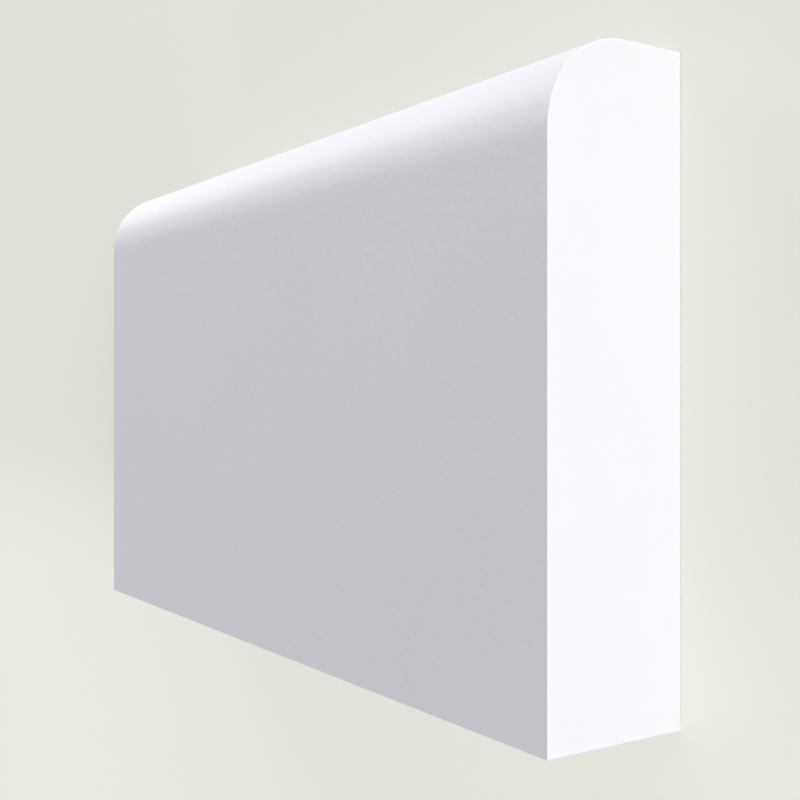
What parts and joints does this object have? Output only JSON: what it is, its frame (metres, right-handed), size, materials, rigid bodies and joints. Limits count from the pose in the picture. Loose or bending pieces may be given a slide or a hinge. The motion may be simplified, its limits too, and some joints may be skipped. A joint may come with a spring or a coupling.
{
  "type": "dado rail",
  "caption": "Short straight length of white dado rail: a flat board section with a rounded upper front nose and square-cut ends, fixed along a wall to trim and protect it.",
  "frame": {"origin": "middle of the flat wall face, which lies on the floor", "axes": "+X along the rail, +Y up the wall towards the rounded nose, +Z out of the wall through the front face"},
  "size_m": [0.1164, 0.07, 0.018],
  "materials": {
    "white_paint": "matte"
  },
  "bodies": {
    "root": {"dado_rail": "white_paint"}
  },
  "joints": []
}
